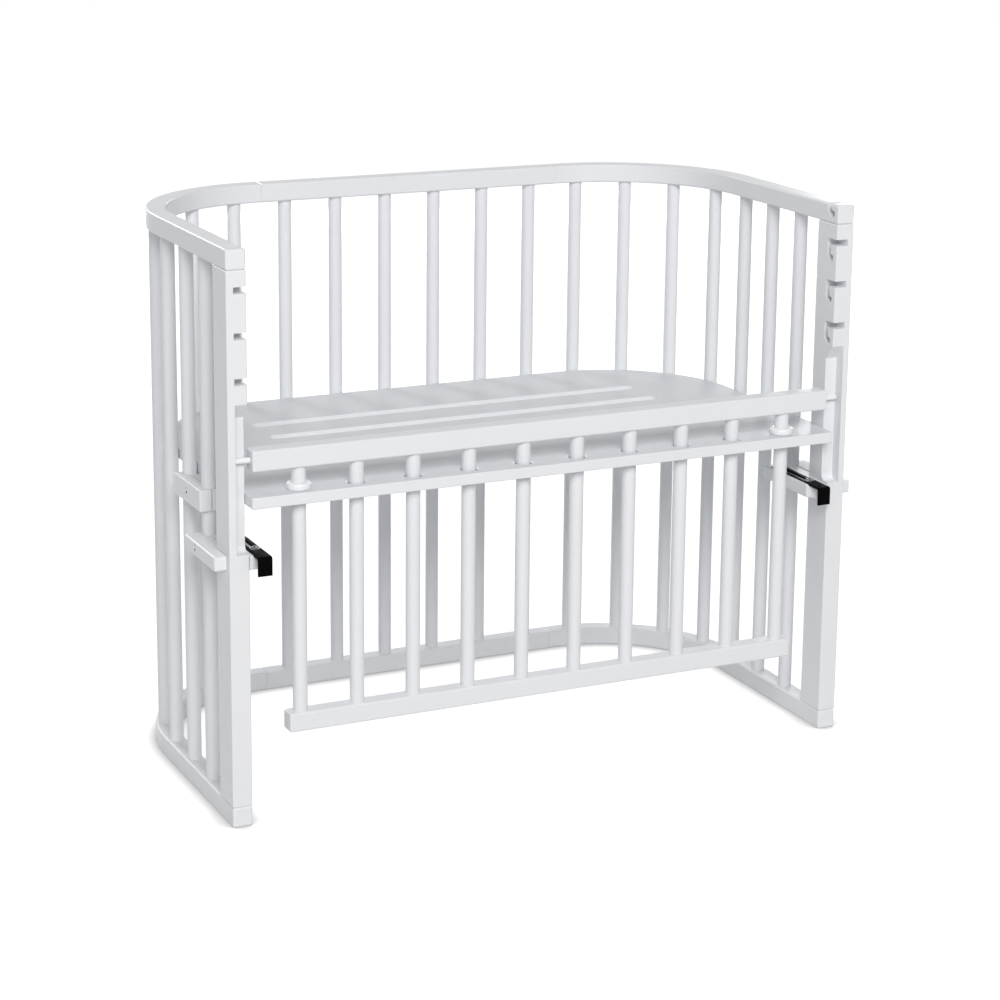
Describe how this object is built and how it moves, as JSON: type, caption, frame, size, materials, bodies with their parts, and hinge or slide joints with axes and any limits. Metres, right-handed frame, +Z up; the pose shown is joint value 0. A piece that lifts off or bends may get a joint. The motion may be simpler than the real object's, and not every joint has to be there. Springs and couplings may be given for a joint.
{
  "type": "bedside sleeper crib",
  "caption": "Round-backed bar crib, open in front, with a clamped mattress deck, a drop-down closing grille on side pins and sliding steel hooks that hold it to a bed.",
  "frame": {"origin": "centre of the footprint on the floor", "axes": "+X to the right along the crib's length, +Y from the open front to the bowed back, +Z up"},
  "size_m": [0.9858, 0.5414, 0.791],
  "materials": {
    "white_lacquer": "satin lacquer",
    "deck_board": "satin lacquer",
    "bare_wood": "bare",
    "white_plastic": "smooth",
    "screw_steel": "plated",
    "strap_steel": "black powder coat"
  },
  "bodies": {
    "frame": {"back_bar_1": "white_lacquer", "back_bar_2": "white_lacquer", "back_bar_3": "white_lacquer", "back_bar_4": "white_lacquer", "back_bar_5": "white_lacquer", "back_bar_6": "white_lacquer", "bottom_rail_left": "white_lacquer", "bottom_rail_middle": "white_lacquer", "bottom_rail_right": "white_lacquer", "frame_dowels": "bare_wood", "left_front_post": "white_lacquer", "left_side_bar_1": "white_lacquer", "left_side_bar_2": "white_lacquer", "left_side_bar_3": "white_lacquer", "left_side_bar_4": "white_lacquer", "left_side_bar_5": "white_lacquer", "left_side_bar_6": "white_lacquer", "left_side_bar_7": "white_lacquer", "right_front_post": "white_lacquer", "right_side_bar_1": "white_lacquer", "right_side_bar_2": "white_lacquer", "right_side_bar_3": "white_lacquer", "right_side_bar_4": "white_lacquer", "right_side_bar_5": "white_lacquer", "right_side_bar_6": "white_lacquer", "right_side_bar_7": "white_lacquer", "top_rail_caps": "white_plastic", "top_rail_left": "white_lacquer", "top_rail_middle": "white_lacquer", "top_rail_right": "white_lacquer"},
    "deck": {"deck_board": "deck_board", "deck_clamp_screws": "screw_steel", "left_deck_clamp_inner": "white_lacquer", "left_deck_clamp_outer": "white_lacquer", "rear_deck_clamp_inner": "white_lacquer", "rear_deck_clamp_outer": "white_lacquer", "right_deck_clamp_inner": "white_lacquer", "right_deck_clamp_outer": "white_lacquer"},
    "grille": {"grille_bar_01": "white_lacquer", "grille_bar_02": "white_lacquer", "grille_bar_03": "white_lacquer", "grille_bar_04": "white_lacquer", "grille_bar_05": "white_lacquer", "grille_bar_06": "white_lacquer", "grille_bar_07": "white_lacquer", "grille_bar_08": "white_lacquer", "grille_bar_09": "white_lacquer", "grille_bar_10": "white_lacquer", "grille_end_pins": "white_plastic", "grille_low_rail": "white_lacquer", "grille_stop_rings": "white_plastic", "grille_top_bar": "white_lacquer"},
    "left_bracket": {"left_bracket_inner_jaw": "white_lacquer", "left_bracket_outer_jaw": "white_lacquer", "left_bracket_screws": "screw_steel"},
    "right_bracket": {"right_bracket_inner_jaw": "white_lacquer", "right_bracket_outer_jaw": "white_lacquer", "right_bracket_screws": "screw_steel"},
    "left_hook": {"left_hook_strap": "strap_steel"},
    "right_hook": {"right_hook_strap": "strap_steel"}
  },
  "joints": [
    {"name": "deck_height", "type": "slide", "parent": "frame", "child": "deck", "axis": [0, 0, 1], "range_m": [-0.115, 0]},
    {"name": "left_bracket_height", "type": "slide", "parent": "frame", "child": "left_bracket", "axis": [0, 0, 1], "range_m": [-0.115, 0]},
    {"name": "right_bracket_height", "type": "slide", "parent": "frame", "child": "right_bracket", "axis": [0, 0, 1], "range_m": [-0.115, 0]},
    {"name": "grille_lift", "type": "slide", "parent": "deck", "child": "grille", "axis": [0, 0, 1], "range_m": [0, 0.055]},
    {"name": "left_hook_slide", "type": "slide", "parent": "left_bracket", "child": "left_hook", "axis": [0, -1, 0], "range_m": [0, 0.07]},
    {"name": "right_hook_slide", "type": "slide", "parent": "right_bracket", "child": "right_hook", "axis": [0, -1, 0], "range_m": [0, 0.07]}
  ],
  "couplings": [
    {"joint": "left_bracket_height", "follows": "deck_height", "ratio": 1},
    {"joint": "right_bracket_height", "follows": "deck_height", "ratio": 1}
  ]
}
